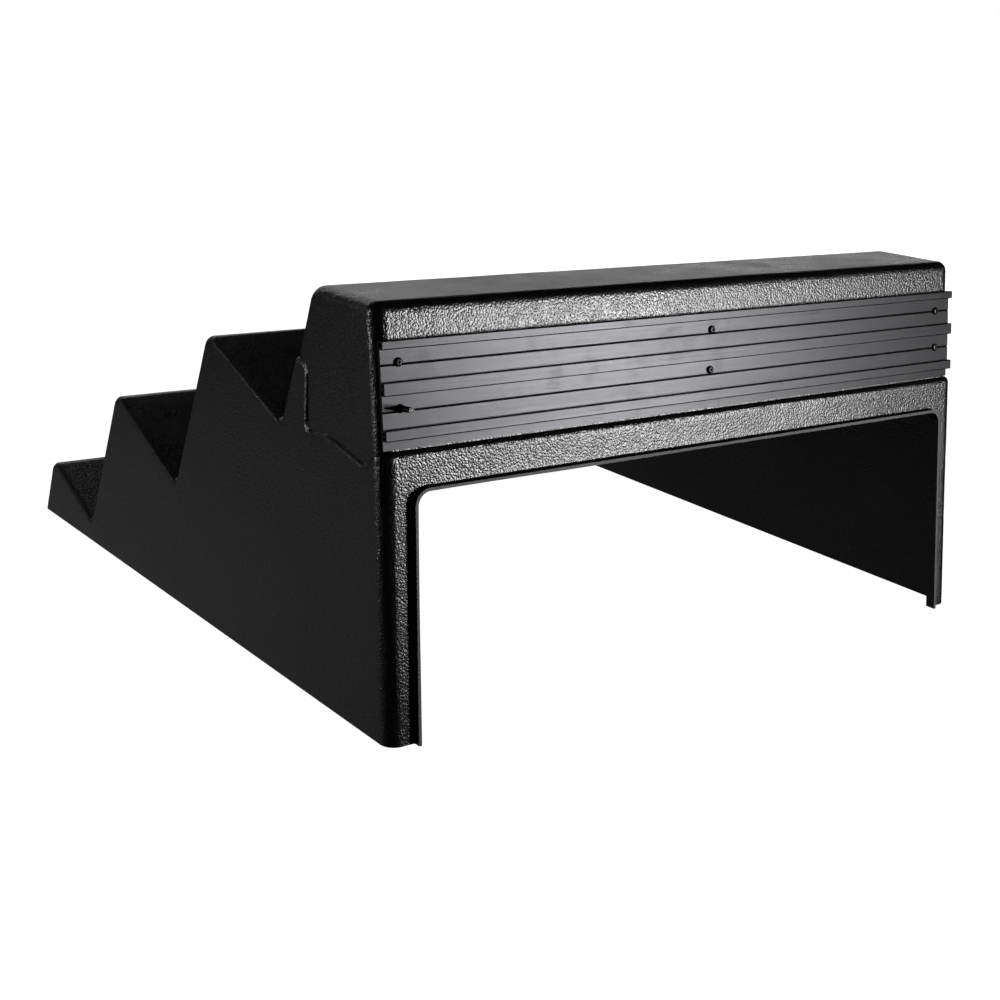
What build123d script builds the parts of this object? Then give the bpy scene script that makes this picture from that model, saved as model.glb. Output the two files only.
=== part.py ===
# Step block with an open rear portal: a thin drafted plastic stair shell, hollow
# and open underneath, with two interlocking aluminium rails screwed across its
# upper rear face. Millimetres, +Z up, +Y to the rear (the rail side), -Y to the
# first step. The feet stand on Z = 0 and the bounding box is centred on X = Y = 0.
import os
from math import atan, cos, sin

from build123d import *

os.makedirs("parts", exist_ok=True)

# ---- Overall size ------------------------------------------------------------
HEIGHT = 363.0          # feet to top deck
REAR_WIDTH = 711.0      # outside of the two rear legs at the feet
FRONT_WIDTH = 733.0     # outside of the side walls at the front toe
TOE_RUN = 766.0         # rear foot line to the front toe
SIDE_DRAFT = 6.0        # each side wall leans in by this over the full height
WALL = 4.0              # formed sheet thickness
RIM_PROUD = 6.5         # rearward turn-out around the rear portal

# ---- Stair profile: (distance forward of the rear foot line, height) ----------
NOSE_1, ROOT_1 = (739.7, 68.8), (626.2, 24.3)
NOSE_2, ROOT_2 = (552.9, 187.8), (406.7, 125.4)
NOSE_3, ROOT_3 = (338.2, 291.0), (192.8, 236.1)
NOSE_4 = (148.0, HEIGHT)
NOSE_R = 16.0           # bend over each step nose
DECK_NOSE_R = 19.0      # bend over the front edge of the top deck
ROOT_R = 6.0            # bend where a tread meets the riser above
EDGE_R = 6.0            # bend along the side edges of the stair

# ---- Rear face, upper box and the shoulder between them ------------------------
REAR_LEAN = 0.112       # lower rear face, forward run per unit height
BOX_LEAN = 0.1331       # upper rear face, forward run per unit height
BOX_HALF = 351.2        # half width of the box at the shoulder's front
BOX_FOOT = 190.0        # depth to which the box is buried in the lower body
SHOULDER_RUN = 146.0    # forward reach of the shoulder on the side walls
SHOULDER_TOP = 298.0    # where the shoulder runs out into the top riser
SHOULDER_FRONT_Z = 239.0        # the lower body stands proud of the box below this
SHOULDER_CROWN = (112.0, 243.0) # highest spot of the shoulder on the side walls
SHOULDER_DIP = (52.0, 231.0)    # lowest spot, just ahead of the rear corner
SHELF = (41.0, 245.0)           # shelf across the rear, from here back
SHOULDER_R = 14.0
CORNER_R = 13.0         # upright rear corners of the lower body
BOX_CORNER_R = 12.0     # upright rear corners of the box
BOX_EDGE_R = 10.0       # bend round the edge of the top deck

# ---- Rear portal ----------------------------------------------------------------
PORTAL_TOP = 213.0
PORTAL_HALF_TOP = 322.0
PORTAL_HALF_FOOT = 326.5
PORTAL_R = 12.0
RIM = 3.0               # sheet thickness at the turned-out rim
RIM_BEND_R = 2.0        # bend from the rear face into the rim

# ---- Rails, measured up the sloping rear face of the box --------------------------
RAIL_LENGTH = 691.0
RAIL_BOTTOM = 248.4     # lower edge of the lower rail's thin flange
FLANGE_T = 1.5
WEB = 3.0               # web thickness
RIDGE = 7.6             # height of the ridges off the box
LOW_RIDGE = (256.1, 265.4)      # ridge below the lower screw row
MID_RIDGE = (292.4, 303.4)      # ridge shared by both rails, split at the joint
TOP_RIDGE = (329.2, 336.5)      # ridge above the upper screw row
GROOVE_W, GROOVE_D = 2.0, 0.8
JOINT = 298.2           # where the shared ridge is split between the rails
LAP, LAP_T = 2.6, 1.4   # tongue of the lower rail lapped under the upper one
SEAM = 0.1              # gap between the two rails where they lap together
CREST_R = 1.0           # rounding of the ridge crests
CHANNEL_WALL = 1.5      # metal around the hollow in each ridge
RAIL_SHIFT = 2.0        # rails sit this far to +X of centre
ROW_1, ROW_2 = 279.3, 316.8     # lower and upper V groove
# Screws set by hand along the grooves: X, and height above the groove.
UPPER_SCREWS = ((331.0, 1.8), (-7.5, 3.4), (-322.0, 0.3))
LOWER_SCREWS = ((330.8, 2.2), (-4.9, 4.3), (-322.0, 0.3))

# ---- M4 hardware --------------------------------------------------------------------
HOLE_R, SHANK_R = 2.25, 2.0
HEAD_R, HEAD_H = 3.8, 2.2
SOCKET_AF, SOCKET_DEPTH = 2.5, 1.3
WASHER_R, WASHER_T = 4.5, 0.8
SHANK_LENGTH = 14.5     # under the head
NUT_AF, NUT_HEX_H, NUT_COLLAR_H = 7.0, 3.4, 1.6

REAR_Y = TOE_RUN - (TOE_RUN + RIM_PROUD) / 2     # Y of the rear foot line


def sloping_face(lean):
    """Plane on the rear face: local x to -X, local y up the slope, normal rearward."""
    angle = atan(lean)
    return Plane((0, REAR_Y, 0), x_dir=(-1, 0, 0), z_dir=(0, cos(angle), sin(angle)))


BODY_FACE = sloping_face(REAR_LEAN)
BOX_FACE = sloping_face(BOX_LEAN)
# Section plane at the rails' +X end: local x up the slope, local y out from the box.
RAIL_END = Plane(
    (RAIL_LENGTH / 2 + RAIL_SHIFT, REAR_Y, 0), x_dir=BOX_FACE.y_dir, z_dir=(-1, 0, 0)
)


def on_line(start, end, height):
    """Point at the given height on the line through two profile points."""
    share = (height - start[1]) / (end[1] - start[1])
    return (start[0] + share * (end[0] - start[0]), height)


def stair_half(run, height):
    """Half width between the drafted side walls of the stair."""
    splay = (FRONT_WIDTH - REAR_WIDTH) / 2 * run / TOE_RUN
    return REAR_WIDTH / 2 + splay - SIDE_DRAFT * height / HEIGHT


def box_half(run, height):
    """Half width of the box, splayed like the stair but with upright walls."""
    return BOX_HALF + (FRONT_WIDTH - REAR_WIDTH) / 2 * (run - SHOULDER_RUN) / TOE_RUN


def side_profile(corners, bends, inset):
    """Side profile from (run, height) corners, thinned and bent at the corners."""
    with BuildSketch(Plane.YZ) as side:
        with BuildLine():
            Polyline(*[(REAR_Y - run, height) for run, height in corners], close=True)
        make_face()
        if inset:
            offset(amount=-inset, kind=Kind.INTERSECTION, mode=Mode.REPLACE)
        for (run, height), radius in bends:
            corner = side.vertices().sort_by_distance((REAR_Y - run, height))[0]
            fillet(corner, radius)
    return side.sketch


def wall_plan(height, lean, half_at, corner_radius, inset):
    """Plan outline of the side walls and the leaning rear face at one height."""
    back, front = lean * height + inset, 820.0
    slim, wide = half_at(back, height) - inset, half_at(front, height) - inset
    with BuildSketch(Plane.XY.offset(height)) as plan:
        with BuildLine():
            Polyline(
                (slim, REAR_Y - back), (wide, REAR_Y - front),
                (-wide, REAR_Y - front), (-slim, REAR_Y - back), close=True,
            )
        make_face()
        fillet(plan.vertices().group_by(Axis.Y)[-1], corner_radius - inset)
    return plan.sketch


def is_sharp(edge, solid):
    """True for an edge where two faces meet at an angle."""
    spot = edge @ 0.5
    faces = [face for face in solid.faces() if face.distance_to(spot) < 0.001]
    normals = [face.normal_at(spot) for face in faces]
    return len(normals) == 2 and normals[0].get_angle(normals[1]) > 3


def walled_solid(side, wall_shape, edge_radius, foot, inset):
    """Prism of a side profile trimmed by its walls, every sharp edge above the foot bent."""
    with BuildPart() as solid:
        extrude(side, amount=500, both=True)
        plans = [wall_plan(height, *wall_shape, inset) for height in (-30, 400)]
        loft(plans, ruled=True, mode=Mode.INTERSECT)
        upper = [edge for edge in solid.edges() if edge.center().Z > foot]
        fillet([edge for edge in upper if is_sharp(edge, solid)], edge_radius - inset)
    return solid


def lower_body(inset):
    """Stair body with treads 1 to 3 and the shoulder around the upper box."""
    foot, behind = -30.0, -60.0
    shoulder_front = on_line(ROOT_3, NOSE_4, SHOULDER_TOP)
    shoulder_foot = (SHOULDER_RUN, SHOULDER_FRONT_Z)
    corners = [
        on_line((TOE_RUN, 0), NOSE_1, foot), NOSE_1, ROOT_1, NOSE_2, ROOT_2, NOSE_3, ROOT_3,
        shoulder_front, (SHOULDER_RUN, SHOULDER_TOP), shoulder_foot, SHOULDER_CROWN,
        SHOULDER_DIP, SHELF, (behind, SHELF[1]), (behind, foot),
    ]
    bends = [(nose, NOSE_R - inset) for nose in (NOSE_1, NOSE_2, NOSE_3)]
    bends += [(root, ROOT_R + inset) for root in (ROOT_1, ROOT_2, ROOT_3)]
    bends += [
        (shoulder_front, EDGE_R + 1 - inset), ((SHOULDER_RUN, SHOULDER_TOP), SHOULDER_R - inset),
        (shoulder_foot, EDGE_R + inset), (SHOULDER_CROWN, 40.0), (SHOULDER_DIP, 12.0),
        (SHELF, EDGE_R + 1),
    ]
    walls = (REAR_LEAN, stair_half, CORNER_R)
    return walled_solid(side_profile(corners, bends, inset), walls, EDGE_R, foot + 5, inset)


def upper_box(inset):
    """Box under the top deck, its foot buried in the lower body."""
    behind = -60.0
    corners = [
        (behind, BOX_FOOT), (behind, HEIGHT), NOSE_4,
        on_line(ROOT_3, NOSE_4, 262.0), (120.0, BOX_FOOT),
    ]
    bends = [(NOSE_4, DECK_NOSE_R - inset)]
    walls = (BOX_LEAN, box_half, BOX_CORNER_R)
    return walled_solid(side_profile(corners, bends, inset), walls, BOX_EDGE_R, BOX_FOOT + 8, inset)


def portal_outline(face_plane, grow):
    """Rear portal outline on a sloping plane, grown sideways and upwards."""
    top, foot = PORTAL_TOP + grow, -30.0
    spread = (PORTAL_HALF_FOOT - PORTAL_HALF_TOP) / PORTAL_TOP
    half_top = PORTAL_HALF_TOP + grow
    half_foot = half_top + spread * (top - foot)
    with BuildSketch(face_plane) as outline:
        with BuildLine():
            Polyline(
                (-half_foot, foot), (half_foot, foot),
                (half_top, top), (-half_top, top), close=True,
            )
        make_face()
        fillet(outline.vertices().group_by(Axis.Y)[-1], PORTAL_R + grow)
    return outline.sketch


def rim_bend(edge):
    """True for an edge where the rim's outer side leaves the rear face."""
    spot = BODY_FACE.to_local_coords(edge.center())
    on_face = abs(spot.Z) < 0.01 and edge.center().Z > 0.01
    inside_legs = abs(spot.X) < PORTAL_HALF_FOOT + RIM + 2
    return on_face and inside_legs and spot.Y < PORTAL_TOP + RIM + 1


# ---- Stair shell ----------------------------------------------------------------
upper_spots = [(x, ROW_2 + rise) for x, rise in UPPER_SCREWS]
lower_spots = [(x, ROW_1 + rise) for x, rise in LOWER_SCREWS]
screw_spots = upper_spots + lower_spots

outer_lower, outer_box = lower_body(0), upper_box(0)
inner_lower, inner_box = lower_body(WALL), upper_box(WALL)

with BuildPart() as portal_rim:
    extrude(portal_outline(BODY_FACE.offset(-WALL), RIM), amount=WALL + RIM_PROUD)

with BuildPart() as portal_hole:
    extrude(portal_outline(BODY_FACE.offset(-40), 0), amount=80)

with BuildPart() as screw_holes:
    with Locations(BOX_FACE):
        with Locations(*[(-x, height) for x, height in screw_spots]):
            Cylinder(HOLE_R, 40)

with BuildPart() as step_shell:
    add(outer_lower.part)
    add(outer_box.part)
    add(portal_rim.part)
    split(bisect_by=Plane.XY, keep=Keep.TOP)
    fillet(step_shell.edges().filter_by(rim_bend), RIM_BEND_R)
    add(inner_lower.part, mode=Mode.SUBTRACT)
    add(inner_box.part, mode=Mode.SUBTRACT)
    add(portal_hole.part, mode=Mode.SUBTRACT)
    add(screw_holes.part, mode=Mode.SUBTRACT)

step_shell.part.label = "step_shell"
export_step(step_shell.part, "parts/step_shell.step")


# ---- Rails ------------------------------------------------------------------------
def rail_section(blocks, cuts):
    """Rail section from (low, high, thickness) blocks up the slope, less its cuts."""
    with BuildSketch(RAIL_END) as section:
        for low, high, base, top in blocks:
            with Locations(((low + high) / 2, (base + top) / 2)):
                Rectangle(high - low, top - base)
        crests = [corner for corner in section.vertices() if corner.Y > RIDGE - 0.1]
        fillet([corner for corner in crests if abs(corner.X - JOINT) > 1], CREST_R)
        for low, high, base, top in cuts:
            with Locations(((low + high) / 2, (base + top) / 2)):
                Rectangle(high - low, top - base, mode=Mode.SUBTRACT)
    return section.sketch


def groove_cutter(row):
    """V groove marking a screw row along the face of a web."""
    with BuildSketch(RAIL_END) as groove:
        with BuildLine():
            Polyline(
                (row - GROOVE_W / 2, WEB), (row + GROOVE_W / 2, WEB),
                (row, WEB - GROOVE_D), close=True,
            )
        make_face()
    return groove.sketch


def channel(low, high):
    """Hollow running the length of a ridge."""
    return (low + CHANNEL_WALL, high - CHANNEL_WALL, CHANNEL_WALL, RIDGE - CHANNEL_WALL)


def drill_row(spots):
    """Clearance holes along one screw row."""
    with BuildPart() as drills:
        with Locations(BOX_FACE):
            with Locations(*[(-x, height) for x, height in spots]):
                Cylinder(HOLE_R, 40)
    return drills.part


low_split = sum(LOW_RIDGE) / 2
lap_top = JOINT + LAP

with BuildPart() as lower_rail:
    extrude(
        rail_section(
            [
                (RAIL_BOTTOM, LOW_RIDGE[1], 0, FLANGE_T),
                (LOW_RIDGE[0], LOW_RIDGE[1], 0, RIDGE),
                (LOW_RIDGE[1] - 1, MID_RIDGE[0] + 1, 0, WEB),
                (MID_RIDGE[0], JOINT, 0, RIDGE),
                (MID_RIDGE[0], lap_top, 0, LAP_T),
            ],
            [
                channel(LOW_RIDGE[0], low_split + CHANNEL_WALL / 2),
                channel(low_split - CHANNEL_WALL / 2, LOW_RIDGE[1]),
                channel(MID_RIDGE[0], JOINT),
            ],
        ),
        amount=RAIL_LENGTH,
    )
    extrude(groove_cutter(ROW_1), amount=RAIL_LENGTH, mode=Mode.SUBTRACT)
    add(drill_row(lower_spots), mode=Mode.SUBTRACT)

upper_foot = JOINT + SEAM
with BuildPart() as upper_rail:
    extrude(
        rail_section(
            [
                (upper_foot, MID_RIDGE[1], 0, RIDGE),
                (upper_foot, TOP_RIDGE[1], 0, WEB),
                (TOP_RIDGE[0], TOP_RIDGE[1], 0, RIDGE),
            ],
            [
                (JOINT, lap_top + SEAM, -1, LAP_T + SEAM),
                (
                    upper_foot + CHANNEL_WALL, MID_RIDGE[1] - CHANNEL_WALL,
                    LAP_T + SEAM + CHANNEL_WALL, RIDGE - CHANNEL_WALL,
                ),
                channel(*TOP_RIDGE),
            ],
        ),
        amount=RAIL_LENGTH,
    )
    extrude(groove_cutter(ROW_2), amount=RAIL_LENGTH, mode=Mode.SUBTRACT)
    add(drill_row(upper_spots), mode=Mode.SUBTRACT)

lower_rail.part.label = "lower_rail"
export_step(lower_rail.part, "parts/lower_rail.step")
upper_rail.part.label = "upper_rail"
export_step(upper_rail.part, "parts/upper_rail.step")


# ---- Rail hardware -------------------------------------------------------------------
def rail_screw(x, row):
    """Button-head screw with a hex socket, head resting on the rail web."""
    seat = BOX_FACE.offset(WEB)
    with BuildPart() as screw:
        with BuildSketch(seat):
            with Locations((x, row)):
                Circle(HEAD_R)
        extrude(amount=HEAD_H)
        crown = screw.faces().sort_by(Axis((0, 0, 0), seat.z_dir))[-1]
        fillet(crown.edges(), HEAD_H * 0.75)
        with BuildSketch(seat):
            with Locations((x, row)):
                Circle(SHANK_R)
        extrude(amount=-SHANK_LENGTH)
        with BuildSketch(seat.offset(HEAD_H)):
            with Locations((x, row)):
                RegularPolygon(SOCKET_AF / 2, 6, major_radius=False)
        extrude(amount=-SOCKET_DEPTH, mode=Mode.SUBTRACT)
    return screw.part


def washer(x, row):
    """Flat washer against the inside of the shell wall."""
    with BuildPart() as ring:
        with BuildSketch(BOX_FACE.offset(-WALL)):
            with Locations((x, row)):
                Circle(WASHER_R)
                Circle(HOLE_R, mode=Mode.SUBTRACT)
        extrude(amount=-WASHER_T)
    return ring.part


def lock_nut(x, row):
    """Hex lock nut with a round collar, tight against the washer."""
    with BuildPart() as nut:
        with BuildSketch(BOX_FACE.offset(-WALL - WASHER_T)):
            with Locations((x, row)):
                RegularPolygon(NUT_AF / 2, 6, major_radius=False)
                Circle(SHANK_R + 0.05, mode=Mode.SUBTRACT)
        extrude(amount=-NUT_HEX_H)
        with BuildSketch(BOX_FACE.offset(-WALL - WASHER_T - NUT_HEX_H)):
            with Locations((x, row)):
                Circle(NUT_AF / 2 - 0.3)
                Circle(SHANK_R + 0.05, mode=Mode.SUBTRACT)
        extrude(amount=-NUT_COLLAR_H)
    return nut.part


for number, (x, height) in enumerate(screw_spots, start=1):
    for maker, stem in ((rail_screw, "rail_screw"), (washer, "washer"), (lock_nut, "lock_nut")):
        piece = maker(-x, height)
        piece.label = f"{stem}_{number}"
        export_step(piece, f"parts/{stem}_{number}.step")
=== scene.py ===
# %% [markdown]
# # A formed step block with screwed-on rails
#
# The object is a black step block: one sheet of plastic, formed hot over a mould, open
# underneath and cut away at the rear. Two black anodised rails are screwed across the
# upper rear face with small button-head screws, and washers and lock nuts hold them
# inside. The exact shape comes packed from CAD and is loaded as a fixed frame. This lesson
# gives the shell a smooth, slightly wavy skin, builds the small hardware again with its
# threads and chamfers, makes the finishes, and sets up a studio.

from math import cos, pi, radians, sin

import bmesh
import bpy
from mathutils import Matrix, Vector


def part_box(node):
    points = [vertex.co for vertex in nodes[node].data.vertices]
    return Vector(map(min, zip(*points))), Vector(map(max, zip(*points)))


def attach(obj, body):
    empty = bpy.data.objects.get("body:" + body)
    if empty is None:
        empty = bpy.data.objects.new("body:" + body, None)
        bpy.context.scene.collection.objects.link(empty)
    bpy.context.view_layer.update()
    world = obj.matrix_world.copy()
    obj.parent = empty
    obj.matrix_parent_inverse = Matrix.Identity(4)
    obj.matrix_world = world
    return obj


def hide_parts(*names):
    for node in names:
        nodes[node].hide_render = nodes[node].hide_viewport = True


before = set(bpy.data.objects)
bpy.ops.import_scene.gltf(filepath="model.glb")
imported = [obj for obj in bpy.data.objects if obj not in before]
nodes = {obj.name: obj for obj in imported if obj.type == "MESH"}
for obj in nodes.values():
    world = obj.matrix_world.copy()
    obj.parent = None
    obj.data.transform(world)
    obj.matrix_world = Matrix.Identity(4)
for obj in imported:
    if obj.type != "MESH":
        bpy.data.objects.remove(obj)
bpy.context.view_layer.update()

# %% [markdown]
# ## The camera
#
# The block is seen from behind and slightly above, with its left flank showing. A camera
# could be aimed with a Track To constraint, but a lesson that must give one exact framing
# is better off with its three turns written down: heading, tilt and a small roll.

# %% Camera
HEADING = radians(36.385)      # turned from straight ahead (-Y) towards -X
TILT = radians(17.096)         # looking down
ROLL = radians(2.660)
CAMERA_PLACE = Vector((0.97135, 1.35289, 0.56689))

ahead = Vector((-sin(HEADING) * cos(TILT), -cos(HEADING) * cos(TILT), -sin(TILT)))
level = Vector((-cos(HEADING), sin(HEADING), 0.0))
below = ahead.cross(level)
right = cos(ROLL) * level - sin(ROLL) * below
down = sin(ROLL) * level + cos(ROLL) * below

camera = bpy.data.objects.new("camera", bpy.data.cameras.new("camera"))
bpy.context.collection.objects.link(camera)
turn = Matrix((right, -down, -ahead)).transposed().to_4x4()
camera.matrix_world = Matrix.Translation(CAMERA_PLACE) @ turn
camera.data.sensor_width = 36.0
camera.data.lens = 55.244
camera.data.shift_x = 0.00142
camera.data.shift_y = 0.00774
camera.data.clip_end = 50.0
bpy.context.scene.camera = camera
print("camera at", tuple(round(v, 3) for v in camera.location))

# %% [markdown]
# ## The studio
#
# A black, glossy object is drawn by what it mirrors, so its lights are placed by where its
# faces look, not by how bright the room is. The rear face looks back past the camera's
# right shoulder, so the main softbox stands there. The deck is seen so flat that it mirrors
# what is behind the block, so a pale backdrop glow stands there. A narrow strip to the
# left draws the bright line along the rear corner. Overhead stays dark, and that is what
# makes the rounded top edges read.
#
# The floor is pale and plain. It has a light of its own, because a softbox strong enough
# to light a black object would leave a white floor grey.

# %% Shader helpers
def new_material(name):
    """Material with its node tree and Principled shader."""
    material = bpy.data.materials.new(name)
    material.use_nodes = True
    return material, material.node_tree, material.node_tree.nodes["Principled BSDF"]


def add_any_node(tree, kind, settings=None, **inputs):
    """Adds a node by its full type name. Inputs that are sockets are linked, the rest are set."""
    node = tree.nodes.new(kind)
    for name, value in (settings or {}).items():
        setattr(node, name, value)
    for name, value in inputs.items():
        socket = node.inputs[int(name[1:])] if name[1:].isdigit() else node.inputs[name.replace("_", " ")]
        if isinstance(value, bpy.types.NodeSocket):
            tree.links.new(value, socket)
        else:
            socket.default_value = value
    return node


def add_node(tree, kind, settings=None, **inputs):
    """As add_any_node, for a shader node's short name."""
    return add_any_node(tree, "ShaderNode" + kind, settings, **inputs)


def add_math(tree, operation, first, second=0.0):
    """Math node on two values or sockets, giving its output socket."""
    node = add_node(tree, "Math", {"operation": operation}, i0=first, i1=second)
    return node.outputs[0]


def ramp_between(tree, value, low, high, start=0.0, end=1.0):
    """Value carried smoothly from low..high to start..end."""
    node = add_node(
        tree, "MapRange", {"interpolation_type": "SMOOTHSTEP"},
        Value=value, From_Min=low, From_Max=high, To_Min=start, To_Max=end,
    )
    return node.outputs["Result"]


# %% Floor
def white_to_the_eye(tree, shader, share, glow):
    """Lays a glow over a shader for camera rays only, so the floor shows almost white."""
    eye = add_node(tree, "LightPath").outputs["Is Camera Ray"]
    seen = add_math(tree, "MULTIPLY", eye, share)
    where = add_node(tree, "TexCoord").outputs["Object"]
    outwards = add_node(tree, "VectorMath", {"operation": "LENGTH"}, i0=where)
    stronger = ramp_between(tree, outwards.outputs["Value"], 0.8, 3.0, glow, glow + 0.35)
    emission = add_node(tree, "Emission", Strength=stronger)
    mix = add_node(tree, "MixShader", i0=seen, i1=shader.outputs["BSDF"], i2=emission.outputs[0])
    tree.links.new(mix.outputs[0], tree.nodes["Material Output"].inputs["Surface"])


pale, tree, shader = new_material("pale_floor")
speckle = add_node(tree, "TexNoise", Scale=3.0, Detail=2.0).outputs["Fac"]
tint = add_node(tree, "MixRGB", i0=speckle, i1=(0.84, 0.84, 0.84, 1), i2=(0.88, 0.88, 0.88, 1))
tree.links.new(tint.outputs[0], shader.inputs["Base Color"])
shader.inputs["Roughness"].default_value = 0.95
shader.inputs["Specular IOR Level"].default_value = 0.0
white_to_the_eye(tree, shader, 0.85, 1.2)

FLOOR_SIZE = 40.0
bpy.ops.mesh.primitive_plane_add(size=FLOOR_SIZE, location=(0, 0, -0.0004))
floor = bpy.context.object
floor.name = "floor"
floor.data.materials.append(pale)
floor.visible_glossy = False

# %% World
world = bpy.data.worlds.new("studio")
bpy.context.scene.world = world
world.use_nodes = True
sky = world.node_tree
facing = add_node(sky, "TexCoord").outputs["Generated"]
height = add_node(sky, "SeparateXYZ", i0=facing).outputs["Z"]
# Dim room: grey floor out to a dark horizon, a soft glow over it, and almost nothing overhead.
floor_near = ramp_between(sky, height, -0.6, -0.4, 0.1, 1.0)
floor_far = ramp_between(sky, height, -0.25, -0.2, 0.075, 0.012)
low = add_math(sky, "MULTIPLY", floor_near, floor_far)
glow_high = ramp_between(sky, height, 0.12, 0.42, 1.0, 0.1)
glow_rise = ramp_between(sky, height, -0.02, 0.1, 0.0, 0.085)
room = add_math(sky, "MULTIPLY", add_math(sky, "ADD", low, glow_rise), glow_high)
front_side = add_node(sky, "VectorMath", {"operation": "DOT_PRODUCT"}, i0=facing, i1=(0.30, -0.95, 0.0))
front_glow = ramp_between(sky, front_side.outputs["Value"], -0.1, 1.0, 0.07, 2.4)
room = add_math(sky, "MULTIPLY", room, front_glow)
eye = add_node(sky, "LightPath").outputs["Is Camera Ray"]
shade = add_node(sky, "MixRGB", i0=eye, i2=(1, 1, 1, 1))
sky.links.new(room, shade.inputs[1])
sky.links.new(shade.outputs[0], sky.nodes["Background"].inputs["Color"])
sky.nodes["Background"].inputs["Strength"].default_value = 1.0

# %% Softboxes
def softbox(name, place, aim, size, power, mirrored=True):
    """Rectangular light aimed at a point. A light that isn't mirrored only fills shadows."""
    lamp = bpy.data.lights.new(name, "AREA")
    lamp.shape = "RECTANGLE"
    lamp.size, lamp.size_y = size
    lamp.energy = power
    light = bpy.data.objects.new(name, lamp)
    bpy.context.collection.objects.link(light)
    light.location = place
    light.rotation_euler = (Vector(aim) - Vector(place)).to_track_quat("-Z", "Y").to_euler()
    light.visible_camera = False
    light.visible_glossy = mirrored
    return light


def around(bearing, distance, height):
    """Place at a bearing from +Y towards -X, in degrees, at a distance and height."""
    return (-distance * sin(radians(bearing)), distance * cos(radians(bearing)), height)


MIDDLE = (0.0, 0.25, 0.2)
softbox("main_softbox", around(32.5, 3.0, 0.36), MIDDLE, (0.6, 0.7), 62)
softbox("backdrop_glow", around(138, 3.4, 0.75), MIDDLE, (3.4, 0.8), 8)
softbox("left_strip", around(-106, 2.8, 0.45), MIDDLE, (0.22, 1.1), 18)
softbox("front_fill", around(178, 3.0, 2.0), MIDDLE, (2.4, 0.9), 10)
softbox("overhead", (0, 0, 4.5), (0, 0, 0), (5, 5), 34, mirrored=False)
bpy.context.scene.view_settings.view_transform = "Standard"

# %% [markdown]
# ## Shared effects
#
# Grain, scratches, dust and worn edges turn up on more than one finish, so each is a node
# group with named inputs. A group gives out plain values. The Bump node and the Principled
# shader stay in the material, so each finish decides how strongly it takes an effect.

# %% Node group helper
def effect_group(name, inputs, outputs):
    """New shader node group with (kind, name, default) inputs and named float outputs."""
    group = bpy.data.node_groups.new(name, "ShaderNodeTree")
    for kind, label, default in inputs:
        socket = group.interface.new_socket(name=label, in_out="INPUT", socket_type="NodeSocket" + kind)
        if kind == "Float":
            socket.default_value = default
    for label in outputs:
        group.interface.new_socket(name=label, in_out="OUTPUT", socket_type="NodeSocketFloat")
    ends = group.nodes.new("NodeGroupInput"), group.nodes.new("NodeGroupOutput")
    return group, ends[0].outputs, ends[1].inputs


def use_group(tree, group, **inputs):
    """Places a node group in a material and gives its outputs."""
    node = tree.nodes.new("ShaderNodeGroup")
    node.node_tree = group
    for name, value in inputs.items():
        socket = node.inputs[name.replace("_", " ")]
        if isinstance(value, bpy.types.NodeSocket):
            tree.links.new(value, socket)
        else:
            socket.default_value = value
    return node.outputs


# %% Pebble grain
# Formed sheet carries a rolled grain: rounded pebbles about a millimetre across, softened
# where the hot sheet stretched.
grain, inside, out = effect_group(
    "pebble_grain",
    [("Vector", "Vector", None), ("Float", "Pebble Size", 0.001), ("Float", "Stretch", 0.3)],
    ["Height", "Softness"],
)
per_metre = add_math(grain, "DIVIDE", 1.0, inside["Pebble Size"])
warp = add_node(grain, "TexNoise", Vector=inside["Vector"], Scale=420.0, Detail=1.0)
nudge = add_node(grain, "VectorMath", {"operation": "SCALE"}, i0=warp.outputs["Color"], Scale=0.0011)
bent = add_node(grain, "VectorMath", {"operation": "ADD"}, i0=inside["Vector"], i1=nudge.outputs[0])
pebbles = add_node(
    grain, "TexVoronoi", {"feature": "SMOOTH_F1"},
    Vector=bent.outputs[0], Scale=per_metre, Smoothness=0.6,
)
mound = add_math(grain, "SUBTRACT", 1.0, pebbles.outputs["Distance"])
patches = add_node(grain, "TexNoise", Vector=inside["Vector"], Scale=9.0, Detail=2.0).outputs["Fac"]
calm = ramp_between(grain, patches, 0.35, 0.65, 0.0, 1.0)
kept = add_math(grain, "SUBTRACT", 1.0, add_math(grain, "MULTIPLY", calm, inside["Stretch"]))
grain.links.new(add_math(grain, "MULTIPLY", mound, kept), out["Height"])
grain.links.new(calm, out["Softness"])

# %% Scratches and rub marks
scratches, inside, out = effect_group(
    "handling_marks",
    [("Vector", "Vector", None), ("Float", "Density", 0.5), ("Float", "Scale", 1.0)],
    ["Scratch", "Rub"],
)


def scratch_layer(tree, coordinates, scale, angle, stretch, threshold):
    """Sparse thin lines: stretched noise crossing its middle value, broken by a second noise."""
    turned = add_node(
        tree, "Mapping", Vector=coordinates, Rotation=angle, Scale=(stretch, 1.0, 1.0),
    ).outputs[0]
    lines = add_node(tree, "TexNoise", Vector=turned, Scale=scale, Detail=1.0).outputs["Fac"]
    away = add_math(tree, "ABSOLUTE", add_math(tree, "SUBTRACT", lines, 0.5))
    thin = ramp_between(tree, away, 0.0, 0.012, 1.0, 0.0)
    breaks = add_node(
        tree, "TexNoise", Vector=coordinates, Scale=scale * 0.45, Detail=0.0,
    ).outputs["Fac"]
    shown = add_node(
        tree, "MapRange", Value=breaks, From_Min=threshold, From_Max=threshold + 0.08,
        To_Min=0.0, To_Max=1.0,
    )
    return add_math(tree, "MULTIPLY", thin, shown.outputs["Result"])


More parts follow.
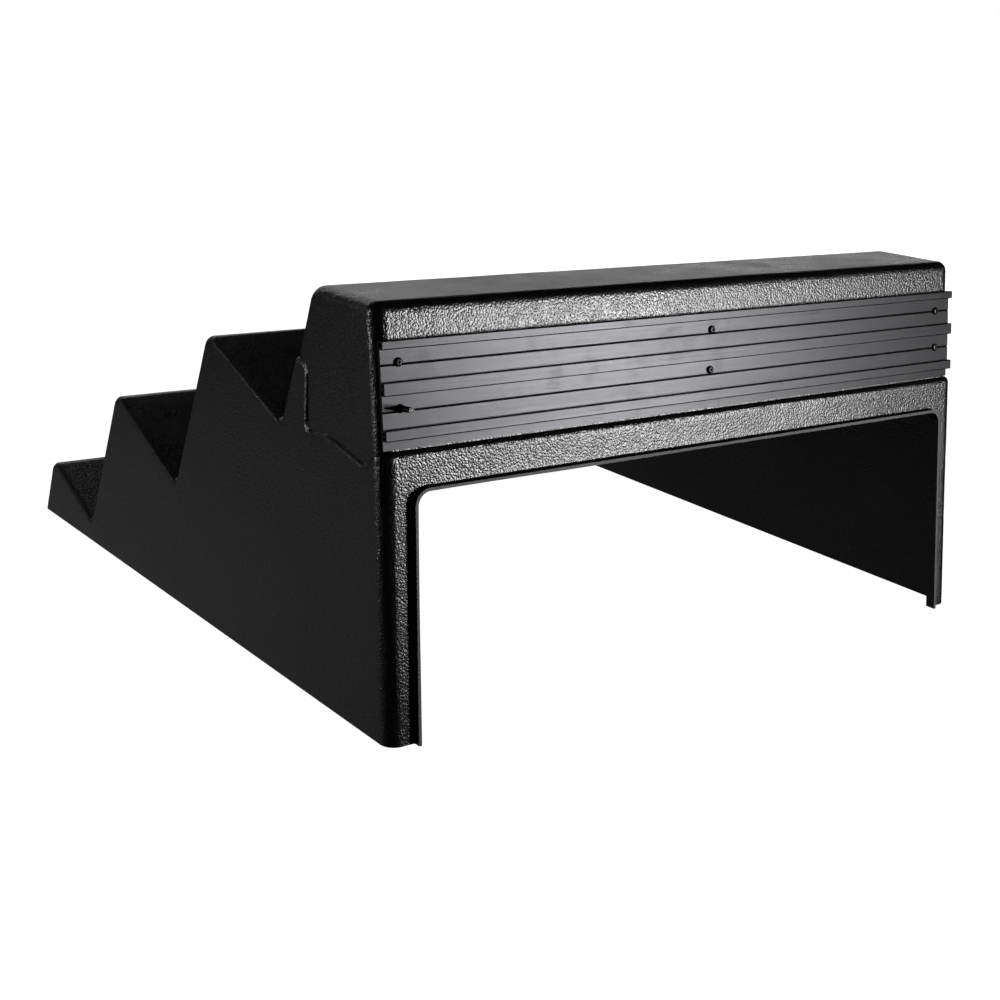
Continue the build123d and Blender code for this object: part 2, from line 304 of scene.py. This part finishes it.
sized = add_node(scratches, "VectorMath", {"operation": "SCALE"}, i0=inside["Vector"], Scale=inside["Scale"])
first = scratch_layer(scratches, sized.outputs[0], 26.0, (0.3, 0.5, 0.9), 0.04, 0.66)
second = scratch_layer(scratches, sized.outputs[0], 38.0, (0.9, -0.4, -0.6), 0.035, 0.68)
both = add_math(scratches, "MAXIMUM", first, second)
scratches.links.new(add_math(scratches, "MULTIPLY", both, inside["Density"]), out["Scratch"])
cloud = add_node(scratches, "TexNoise", Vector=sized.outputs[0], Scale=14.0, Detail=4.0, Roughness=0.65)
rub = ramp_between(scratches, cloud.outputs["Fac"], 0.52, 0.7)
scratches.links.new(add_math(scratches, "MULTIPLY", rub, inside["Density"]), out["Rub"])

# %% Dust and worn edges
dust, inside, out = effect_group(
    "settled_dust", [("Vector", "Vector", None), ("Float", "Amount", 0.3)], ["Mask", "Specks"],
)
upward = add_node(dust, "SeparateXYZ", i0=add_node(dust, "NewGeometry").outputs["Normal"]).outputs["Z"]
lying = ramp_between(dust, upward, 0.2, 0.95, 0.12, 1.0)
drift = add_node(dust, "TexNoise", Vector=inside["Vector"], Scale=22.0, Detail=5.0, Roughness=0.7)
film = add_math(dust, "MULTIPLY", ramp_between(dust, drift.outputs["Fac"], 0.35, 0.75), lying)
dust.links.new(add_math(dust, "MULTIPLY", film, inside["Amount"]), out["Mask"])
motes = add_node(dust, "TexVoronoi", Vector=inside["Vector"], Scale=170.0, Randomness=1.0)
small = ramp_between(dust, motes.outputs["Distance"], 0.03, 0.07, 1.0, 0.0)
rare = add_node(dust, "SeparateXYZ", i0=motes.outputs["Color"]).outputs["X"]
few = add_math(dust, "GREATER_THAN", rare, 0.9)
speck = add_math(dust, "MULTIPLY", add_math(dust, "MULTIPLY", small, few), inside["Amount"])
dust.links.new(speck, out["Specks"])

worn, inside, out = effect_group(
    "edge_wear", [("Vector", "Vector", None), ("Float", "Amount", 0.5)], ["Mask"],
)
ridge = ramp_between(worn, add_node(worn, "NewGeometry").outputs["Pointiness"], 0.52, 0.62)
chips = add_node(worn, "TexNoise", Vector=inside["Vector"], Scale=160.0, Detail=3.0, Roughness=0.7)
broken = ramp_between(worn, chips.outputs["Fac"], 0.42, 0.62)
chipped = add_math(worn, "MULTIPLY", ridge, broken)
worn.links.new(add_math(worn, "MULTIPLY", chipped, inside["Amount"]), out["Mask"])
print("effects:", [group.name for group in bpy.data.node_groups])

# %% [markdown]
# ## The finishes
#
# The shell is black plastic with a satin gloss and pebble grain. The rails are extruded
# aluminium, anodised black: fine die lines run along them, and handling leaves greasy
# patches and short scratches. The screws are black oxide steel, and the washers and nuts
# inside are zinc plated.

# %% Shell plastic
def own_coordinates(tree):
    return add_node(tree, "TexCoord").outputs["Object"]


def add_bump(tree, height, distance, strength=1.0, under=None):
    """Bump node fed by a height, optionally on top of another normal."""
    bump = add_node(tree, "Bump", Height=height, Distance=distance, Strength=strength)
    if under is not None:
        tree.links.new(under, bump.inputs["Normal"])
    return bump.outputs["Normal"]


def blend_colour(tree, share, first, second):
    """Mix of two colours or sockets by a mask."""
    return add_node(tree, "MixRGB", i0=share, i1=first, i2=second).outputs[0]


def scaled(colour, factor):
    """RGBA of a colour made darker or lighter."""
    return tuple(factor * part for part in colour) + (1,)


def shell_finish(name, colour, gloss, pebble_height, cut=False):
    """Formed black sheet. A cut edge is duller, paler and saw-marked instead of grained."""
    material, tree, shader = new_material(name)
    where = own_coordinates(tree)
    pebble = use_group(tree, grain, Vector=where, Pebble_Size=0.0018, Stretch=0.1)
    marks = use_group(tree, scratches, Vector=where, Density=0.4, Scale=1.0)
    film = use_group(tree, dust, Vector=where, Amount=0.28)
    edges = use_group(tree, worn, Vector=where, Amount=0.35)
    tone = add_node(tree, "TexNoise", Vector=where, Scale=6.0, Detail=3.0).outputs["Fac"]
    base = blend_colour(tree, tone, scaled(colour, 0.8), scaled(colour, 1.2))
    crests = add_math(tree, "MULTIPLY", pebble["Height"], 0.35)
    base = blend_colour(tree, crests, base, (0.001, 0.001, 0.001, 1))
    base = blend_colour(tree, edges["Mask"], base, (0.012, 0.012, 0.012, 1))
    scuffs = add_math(tree, "MULTIPLY", marks["Scratch"], 0.2)
    base = blend_colour(tree, scuffs, base, (0.03, 0.03, 0.03, 1))
    haze = add_math(tree, "MULTIPLY", film["Mask"], 0.05)
    base = blend_colour(tree, haze, base, (0.1, 0.095, 0.09, 1))
    motes_seen = add_math(tree, "MULTIPLY", film["Specks"], 0.6)
    base = blend_colour(tree, motes_seen, base, (0.12, 0.115, 0.11, 1))
    tree.links.new(base, shader.inputs["Base Color"])
    rough = add_math(tree, "MULTIPLY_ADD", marks["Rub"], 0.07)
    rough.node.inputs[2].default_value = gloss
    rough = add_math(tree, "ADD", rough, add_math(tree, "MULTIPLY", film["Mask"], 0.25))
    rough = add_math(tree, "ADD", rough, add_math(tree, "MULTIPLY", pebble["Softness"], 0.03))
    tree.links.new(rough, shader.inputs["Roughness"])
    shader.inputs["IOR"].default_value = 1.5
    if cut:
        strokes = add_node(tree, "Mapping", Vector=where, Rotation=(0.0, 0.5, 0.3), Scale=(1.0, 0.1, 1.0))
        teeth = add_node(tree, "TexNoise", Vector=strokes.outputs[0], Scale=900.0, Detail=2.0)
        normal = add_bump(tree, teeth.outputs["Fac"], 0.0003)
    else:
        normal = add_bump(tree, pebble["Height"], pebble_height)
    normal = add_bump(tree, marks["Scratch"], -0.00004, 1.0, normal)
    tree.links.new(normal, shader.inputs["Normal"])
    return material


shell_plastic = shell_finish("shell_plastic", (0.0022, 0.0022, 0.0023), 0.26, 0.0003)
shell_cut_edge = shell_finish("shell_cut_edge", (0.03, 0.03, 0.031), 0.5, 0.0, cut=True)
print("finishes:", shell_plastic.name, shell_cut_edge.name)

# %% Anodised rail
anodised, tree, shader = new_material("anodised_rail")
where = own_coordinates(tree)
along = add_node(tree, "Mapping", Vector=where, Scale=(0.012, 1.0, 1.0)).outputs[0]
die_lines = add_node(tree, "TexNoise", Vector=along, Scale=1500.0, Detail=3.0, Roughness=0.6).outputs["Fac"]
broad_lines = add_node(tree, "TexNoise", Vector=along, Scale=330.0, Detail=2.0).outputs["Fac"]
marks = use_group(tree, scratches, Vector=where, Density=1.0, Scale=1.7)
film = use_group(tree, dust, Vector=where, Amount=0.5)
base = blend_colour(tree, broad_lines, (0.024, 0.024, 0.0252, 1), (0.032, 0.032, 0.0335, 1))
base = blend_colour(tree, add_math(tree, "MULTIPLY", marks["Rub"], 0.2), base, (0.025, 0.025, 0.0245, 1))
base = blend_colour(tree, add_math(tree, "MULTIPLY", marks["Scratch"], 0.4), base, (0.012, 0.012, 0.013, 1))
base = blend_colour(tree, film["Specks"], base, (0.014, 0.013, 0.012, 1))
tree.links.new(base, shader.inputs["Base Color"])
shader.inputs["Metallic"].default_value = 1.0
rough = add_math(tree, "MULTIPLY_ADD", marks["Rub"], 0.03)
rough.node.inputs[2].default_value = 0.27
rough = add_math(tree, "ADD", rough, add_math(tree, "MULTIPLY", die_lines, 0.10))
tree.links.new(rough, shader.inputs["Roughness"])
normal = add_bump(tree, die_lines, 0.00005)
normal = add_bump(tree, broad_lines, 0.00006, 1.0, normal)
tree.links.new(add_bump(tree, marks["Scratch"], -0.00003, 1.0, normal), shader.inputs["Normal"])
print("finish:", anodised.name)


# %% Hardware finishes
def steel_finish(name, colour, gloss, wear_colour, blotch):
    """Small steel hardware: turning lines, mottled plating and rubbed edges."""
    material, tree, shader = new_material(name)
    where = own_coordinates(tree)
    mottle = add_node(tree, "TexNoise", Vector=where, Scale=700.0, Detail=4.0, Roughness=0.7).outputs["Fac"]
    turning = add_node(tree, "TexNoise", Vector=where, Scale=3200.0, Detail=1.0).outputs["Fac"]
    edges = use_group(tree, worn, Vector=where, Amount=0.8)
    film = use_group(tree, dust, Vector=where, Amount=0.3)
    base = blend_colour(tree, mottle, scaled(colour, 1 - blotch), scaled(colour, 1 + blotch))
    base = blend_colour(tree, edges["Mask"], base, wear_colour + (1,))
    base = blend_colour(tree, film["Specks"], base, (0.05, 0.05, 0.05, 1))
    tree.links.new(base, shader.inputs["Base Color"])
    shader.inputs["Metallic"].default_value = 1.0
    rough = add_math(tree, "MULTIPLY_ADD", mottle, 0.18)
    rough.node.inputs[2].default_value = gloss
    tree.links.new(rough, shader.inputs["Roughness"])
    tree.links.new(add_bump(tree, turning, 0.00003), shader.inputs["Normal"])
    return material


black_oxide = steel_finish("black_oxide_steel", (0.03, 0.03, 0.032), 0.25, (0.12, 0.12, 0.12), 0.4)
zinc_washer = steel_finish("zinc_washer", (0.56, 0.57, 0.60), 0.22, (0.7, 0.7, 0.7), 0.12)
zinc_nut = steel_finish("zinc_nut", (0.50, 0.51, 0.53), 0.26, (0.68, 0.68, 0.68), 0.15)
print("finishes:", black_oxide.name, zinc_washer.name, zinc_nut.name)

# %% [markdown]
# ## The shell's skin
#
# CAD gives the shell as loose triangles, long and thin on the flat walls. They shade flat
# and can't bend. So a merged copy of the mesh is cut on a grid, which leaves every face in
# its plane but gives the walls points to move. A small Geometry Nodes tree then lets the
# walls sink by a few tenths of a millimetre, as formed sheet does when it cools, and adds
# a few shallow knocks. Everything moves inwards, so the block keeps its outside size.
# Weighted normals keep the flats flat and the bends smooth.

# %% Merged copy of the shell, cut on a grid
GRID = 0.016
MERGE = 2e-6


def merged_copy(node, name):
    """Plain object with a copy of a CAD node's mesh, its materials and custom normals cleared; its points
    are merged when it is cut on the grid.
    """
    copy = bpy.data.objects.new(name, node.data.copy())
    bpy.context.collection.objects.link(copy)
    copy.data.materials.clear()
    if copy.data.has_custom_normals:
        with bpy.context.temp_override(object=copy, active_object=copy):
            bpy.ops.mesh.customdata_custom_splitnormals_clear()
    return copy


def cut_on_grid(mesh, low, high, step):
    """Cuts a mesh by planes across each axis, a step apart, without moving its surface."""
    cutter = bmesh.new()
    cutter.from_mesh(mesh)
    bmesh.ops.remove_doubles(cutter, verts=cutter.verts, dist=MERGE)
    bmesh.ops.dissolve_limit(
        cutter, angle_limit=radians(0.05), verts=cutter.verts, edges=cutter.edges,
    )
    for axis in range(3):
        normal = Vector([float(axis == other) for other in range(3)])
        count = int((high[axis] - low[axis]) / step)
        for number in range(1, count + 1):
            place = low[axis] + number * (high[axis] - low[axis]) / (count + 1)
            bmesh.ops.bisect_plane(
                cutter, geom=cutter.verts[:] + cutter.edges[:] + cutter.faces[:],
                plane_co=normal * place, plane_no=normal, dist=1e-6,
            )
    bmesh.ops.triangulate(cutter, faces=[face for face in cutter.faces if len(face.verts) > 4])
    cutter.to_mesh(mesh)
    cutter.free()


skin = merged_copy(nodes["step_shell"], "shell_skin")
low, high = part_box("step_shell")
cut_on_grid(skin.data, low, high, GRID)
print("skin faces:", len(skin.data.polygons))

# %% Mark the trimmed edges
# The feet and the end of the turned-out rim were cut with a saw after forming.
REAR_LEAN = 0.112              # run per height of the lower rear face
RIM_END = high[1] - 0.0002     # the rim's end, where it meets the floor
face_normal = Vector((0.0, 1.0, REAR_LEAN)).normalized()


def is_trimmed(face):
    """True on the saw cuts: the foot rim on the floor and the end face of the portal rim."""
    centre, normal = face.center, face.normal
    on_floor = centre.z < 1e-5 and normal.z < -0.99
    reach = centre.dot(face_normal) - Vector((0, RIM_END, 0)).dot(face_normal)
    return on_floor or (abs(reach) < 0.0006 and normal.dot(face_normal) > 0.99)


skin.data.materials.append(shell_plastic)
skin.data.materials.append(shell_cut_edge)
for face in skin.data.polygons:
    face.use_smooth = True
    face.material_index = int(is_trimmed(face))
print("trimmed faces:", sum(face.material_index for face in skin.data.polygons))

# %% Let the walls sink and take knocks
def geometry_tree(name, inputs):
    """New Geometry Nodes tree with a geometry input, named inputs and a geometry output."""
    tree = bpy.data.node_groups.new(name, "GeometryNodeTree")
    tree.interface.new_socket(name="Geometry", in_out="INPUT", socket_type="NodeSocketGeometry")
    for kind, label in inputs:
        tree.interface.new_socket(name=label, in_out="INPUT", socket_type="NodeSocket" + kind)
    tree.interface.new_socket(name="Geometry", in_out="OUTPUT", socket_type="NodeSocketGeometry")
    return tree, tree.nodes.new("NodeGroupInput").outputs, tree.nodes.new("NodeGroupOutput").inputs


def run_tree(piece, tree, **inputs):
    """Runs a tree on a piece, keeps the result as its plain mesh and removes the modifier."""
    modifier = piece.modifiers.new(tree.name, "NODES")
    modifier.node_group = tree
    for item in tree.interface.items_tree:
        if item.in_out == "INPUT" and item.name.replace(" ", "_") in inputs:
            modifier[item.identifier] = inputs[item.name.replace(" ", "_")]
    keep_evaluated(piece)


def keep_evaluated(piece):
    """Replaces a piece's mesh with its evaluated one and removes its modifiers."""
    piece.data.update()
    depsgraph = bpy.context.evaluated_depsgraph_get()
    result = bpy.data.meshes.new_from_object(piece.evaluated_get(depsgraph))
    piece.modifiers.clear()
    piece.data = result


def distance_weight(tree, spot, centre, radius):
    """1 at a centre, falling smoothly to 0 at a radius."""
    gap = add_any_node(tree, "ShaderNodeVectorMath", {"operation": "DISTANCE"}, i0=spot, i1=centre)
    node = add_any_node(
        tree, "ShaderNodeMapRange", {"interpolation_type": "SMOOTHSTEP"},
        Value=gap.outputs["Value"], From_Min=0.0, From_Max=radius, To_Min=1.0, To_Max=0.0,
    )
    return node.outputs["Result"]


# Knocks and hand-worked spots: (centre, radius, depth) in metres.
KNOCKS = [
    ((-0.079, 0.3486, 0.2335), 0.016, 0.0009),
    ((-0.102, 0.3484, 0.2350), 0.012, 0.0008),
    ((-0.127, 0.3482, 0.2365), 0.016, 0.0010),
    ((0.200, 0.3490, 0.2300), 0.030, 0.0005),
]
sag, given, out = geometry_tree("cooled_sheet", [("Float", "Depth"), ("Float", "Wave Length")])
spot = add_any_node(sag, "GeometryNodeInputPosition").outputs[0]
outward = add_any_node(sag, "GeometryNodeInputNormal").outputs[0]
waves_per_metre = add_math(sag, "DIVIDE", 1.0, given["Wave Length"])
waves = add_any_node(
    sag, "ShaderNodeTexNoise", Vector=spot, Scale=waves_per_metre, Detail=1.0,
).outputs["Fac"]
sink = add_math(sag, "MULTIPLY", ramp_between(sag, waves, 0.3, 0.7), given["Depth"])
for centre, radius, depth in KNOCKS:
    dip = add_math(sag, "MULTIPLY", distance_weight(sag, spot, centre, radius), depth)
    sink = add_math(sag, "ADD", sink, dip)
# Nothing sinks near the floor, where the sheet is trimmed and must fit.
above = add_any_node(sag, "ShaderNodeSeparateXYZ", i0=spot).outputs["Z"]
free = ramp_between(sag, above, 0.006, 0.04)
back = add_math(sag, "MULTIPLY", add_math(sag, "MULTIPLY", sink, free), -1.0)
shift = add_any_node(sag, "ShaderNodeVectorMath", {"operation": "SCALE"}, i0=outward, Scale=back)
moved = add_any_node(sag, "GeometryNodeSetPosition", Geometry=given["Geometry"], Offset=shift.outputs[0])
sag.links.new(moved.outputs[0], out["Geometry"])
run_tree(skin, sag, Depth=0.0004, Wave_Length=0.14)
print("skin points:", len(skin.data.vertices))

# %% Smooth bends, flat flats
def shade_bends(piece, sharp_angle):
    """Smooth shading with sharp corners kept and large flat faces ruling the normals."""
    for face in piece.data.polygons:
        face.use_smooth = True
    piece.data.set_sharp_from_angle(angle=sharp_angle)
    weighted = piece.modifiers.new("weighted", "WEIGHTED_NORMAL")
    weighted.keep_sharp = True
    weighted.weight = 50
    keep_evaluated(piece)


shade_bends(skin, radians(32))
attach(skin, "root")
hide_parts("step_shell")
print("skin box:", [[round(v, 4) for v in corner] for corner in (low, high)])

# %% [markdown]
# ## The rails
#
# The rails' section, lap joint and grooves are already right in CAD, so their nodes stay
# and only take the anodised finish.

# %% Rails
for name in ("upper_rail", "lower_rail"):
    rail = nodes[name]
    rail.data.materials.clear()
    rail.data.materials.append(anodised)

# %% [markdown]
# ## Screws, washers and lock nuts
#
# There are six of each, alike, so each is made once and set in place by one Geometry Nodes
# tree, which turns every copy a little, because a fitter doesn't line up the sockets. All three
# are turned shapes: rings of points round an axis, where some rings are hexagons.

# %% Turned shape
SIDES = 36                     # a multiple of 6, so that hexagons have true corners


def ring_points(limit, level, flats):
    """Points of one ring: a circle, or a hexagon across flats trimmed to a circle."""
    points = []
    for step in range(SIDES):
        angle = 2 * pi * step / SIDES
        radius = limit
        if flats:
            off_flat = (angle + pi / 6) % (pi / 3) - pi / 6
            radius = min(limit, flats / 2 / cos(off_flat))
        points.append((radius * cos(angle), radius * sin(angle), level))
    return points


def turned(name, rings, ring_shaped):
    """Closed mesh from (radius limit, level, across flats or 0) rings, outside first."""
    shape = bmesh.new()
    loops = [[shape.verts.new(point) for point in ring_points(*ring)] for ring in rings]
    pairs = list(zip(loops, loops[1:]))
    if ring_shaped:
        pairs.append((loops[-1], loops[0]))
    else:
        for loop in (loops[0], loops[-1]):
            shape.faces.new(loop)
    for lower, upper in pairs:
        for step in range(SIDES):
            after = (step + 1) % SIDES
            shape.faces.new((lower[step], lower[after], upper[after], upper[step]))
    bmesh.ops.recalc_face_normals(shape, faces=shape.faces)
    mesh = bpy.data.meshes.new(name)
    shape.to_mesh(mesh)
    shape.free()
    piece = bpy.data.objects.new(name, mesh)
    for face in mesh.polygons:
        face.use_smooth = True
    mesh.set_sharp_from_angle(angle=radians(28))
    return piece


# %% One screw, one washer, one nut
MM = 0.001
HEAD_R, HEAD_H = 3.8 * MM, 2.2 * MM
SOCKET_AF, SOCKET_DEPTH = 2.5 * MM, 1.3 * MM
SHANK_R, SHANK_LENGTH, THREAD_PITCH = 2.0 * MM, 14.5 * MM, 0.7 * MM
WASHER_R, WASHER_T, HOLE_R = 4.5 * MM, 0.8 * MM, 2.25 * MM
NUT_AF, NUT_HEX_H, NUT_COLLAR_H = 7.0 * MM, 3.4 * MM, 1.6 * MM
WEB, SHEET = 3.0 * MM, 4.0 * MM


def screw_rings():
    """Rings from the threaded tip, under the head, over the crown and into the socket."""
    rings = [(SHANK_R - 0.6 * MM, -SHANK_LENGTH, 0)]
    turns = int((SHANK_LENGTH - 1.5 * MM) / THREAD_PITCH)
    for number in range(turns):
        level = -SHANK_LENGTH + 0.25 * MM + number * THREAD_PITCH
        rings.append((SHANK_R - 0.42 * MM, level, 0))
        rings.append((SHANK_R, level + THREAD_PITCH / 2, 0))
    rings.append((SHANK_R - 0.05 * MM, -0.9 * MM, 0))
    rings.append((SHANK_R, -0.1 * MM, 0))
    rings += [(HEAD_R - 0.15 * MM, 0.0, 0), (HEAD_R, 0.12 * MM, 0), (HEAD_R, 0.5 * MM, 0)]
    crown_r = SOCKET_AF / 2 + 0.35 * MM
    for number in range(1, 8):
        sweep = pi / 2 * number / 7
        radius = crown_r + (HEAD_R - crown_r) * cos(sweep)
        rings.append((radius, 0.5 * MM + (HEAD_H - 0.5 * MM) * sin(sweep), 0))
    socket_corner = SOCKET_AF / 2 / cos(pi / 6)
    rings.append((socket_corner + 0.08 * MM, HEAD_H, 0))
    rings.append((socket_corner, HEAD_H - 0.12 * MM, SOCKET_AF))
    rings.append((socket_corner, HEAD_H - SOCKET_DEPTH, SOCKET_AF))
    rings.append((0.3 * MM, HEAD_H - SOCKET_DEPTH - 0.25 * MM, 0))
    return rings


washer_rings = [
    (WASHER_R - 0.1 * MM, 0.0, 0), (WASHER_R, 0.12 * MM, 0), (WASHER_R, WASHER_T - 0.2 * MM, 0),
    (WASHER_R - 0.2 * MM, WASHER_T, 0), (HOLE_R + 0.1 * MM, WASHER_T, 0), (HOLE_R, WASHER_T - 0.1 * MM, 0),
    (HOLE_R, 0.1 * MM, 0), (HOLE_R + 0.1 * MM, 0.0, 0),
]
NUT_R = NUT_AF / 2
BORE_R = SHANK_R + 0.05 * MM
nut_top = NUT_HEX_H + NUT_COLLAR_H
nut_rings = [
    (NUT_R - 0.1 * MM, 0.0, NUT_AF), (NUT_R / cos(pi / 6), 0.45 * MM, NUT_AF),
    (NUT_R / cos(pi / 6), NUT_HEX_H - 0.45 * MM, NUT_AF), (NUT_R, NUT_HEX_H, NUT_AF),
    (NUT_R - 0.3 * MM, NUT_HEX_H + 0.05 * MM, 0), (NUT_R - 0.3 * MM, nut_top - 0.5 * MM, 0),
    (NUT_R - 0.6 * MM, nut_top, 0), (BORE_R + 0.5 * MM, nut_top - 0.1 * MM, 0),
    (BORE_R, nut_top - 0.4 * MM, 0), (BORE_R, 0.3 * MM, 0), (BORE_R + 0.3 * MM, 0.0, 0),
]
one_screw = turned("one_screw", screw_rings(), ring_shaped=False)
one_washer = turned("one_washer", washer_rings, ring_shaped=True)
one_nut = turned("one_nut", nut_rings, ring_shaped=True)
print("faces:", {piece.name: len(piece.data.polygons) for piece in (one_screw, one_washer, one_nut)})

# %% Seats of the six screws
BOX_LEAN = 0.1331              # run per height of the upper rear face
screw_axis = Vector((0.0, 1.0, BOX_LEAN)).normalized()


def seat_of(node):
    """Point on the rail's web under a screw's head, from the CAD screw's own tip."""
    points = [vertex.co.copy() for vertex in node.data.vertices]
    depth = min(point.dot(screw_axis) for point in points)
    tip = [point for point in points if point.dot(screw_axis) < depth + 1e-5]
    centre = Vector([(min(p[k] for p in tip) + max(p[k] for p in tip)) / 2 for k in range(3)])
    return centre + screw_axis * SHANK_LENGTH


seats = [seat_of(nodes[f"rail_screw_{number}"]) for number in range(1, 7)]
print("seats:", [tuple(round(v, 4) for v in seat) for seat in seats])

# %% Tree that sets a piece on every seat
setting, given, out = geometry_tree(
    "set_on_seats",
    [
        ("Object", "Piece"), ("Rotation", "Facing"), ("Float", "Most Turn"), ("Int", "Seed"),
        ("Material", "Finish"),
    ],
)
piece_in = add_any_node(setting, "GeometryNodeObjectInfo", Object=given["Piece"]).outputs["Geometry"]
spin = add_any_node(
    setting, "FunctionNodeRandomValue", {"data_type": "FLOAT"}, Max=given["Most Turn"], Seed=given["Seed"],
).outputs[1]
about_axis = add_any_node(setting, "ShaderNodeCombineXYZ", Z=spin).outputs[0]
copies = add_any_node(
    setting, "GeometryNodeInstanceOnPoints",
    Points=given["Geometry"], Instance=piece_in, Rotation=given["Facing"],
).outputs[0]
spun = add_any_node(
    setting, "GeometryNodeRotateInstances", Instances=copies, Rotation=about_axis, Local_Space=True,
).outputs[0]
solid = add_any_node(setting, "GeometryNodeRealizeInstances", Geometry=spun).outputs[0]
dressed = add_any_node(setting, "GeometryNodeSetMaterial", Geometry=solid, Material=given["Finish"])
setting.links.new(dressed.outputs[0], out["Geometry"])


def set_on_seats(name, piece, offset, inward, seed, finish, stem):
    """Six copies of a piece on the seats, standing for the six CAD nodes of one stem."""
    direction = -screw_axis if inward else screw_axis
    points = bpy.data.meshes.new(name)
    points.from_pydata([seat + screw_axis * offset for seat in seats], [], [])
    holder = bpy.data.objects.new(name, points)
    bpy.context.collection.objects.link(holder)
    facing = direction.to_track_quat("Z", "Y").to_euler()
    run_tree(
        holder, setting, Piece=piece, Facing=facing, Most_Turn=2 * pi, Seed=seed, Finish=finish,
    )
    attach(holder, "root")
    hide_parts(*[f"{stem}_{number}" for number in range(1, 7)])
    print(name, "faces:", len(holder.data.polygons))
    return holder


set_on_seats("rail_screws", one_screw, 0.0, False, 3, black_oxide, "rail_screw")
set_on_seats("washers", one_washer, -WEB - SHEET, True, 5, zinc_washer, "washer")
set_on_seats("lock_nuts", one_nut, -WEB - SHEET - WASHER_T, True, 8, zinc_nut, "lock_nut")
for spare in (one_screw, one_washer, one_nut):
    bpy.data.objects.remove(spare)
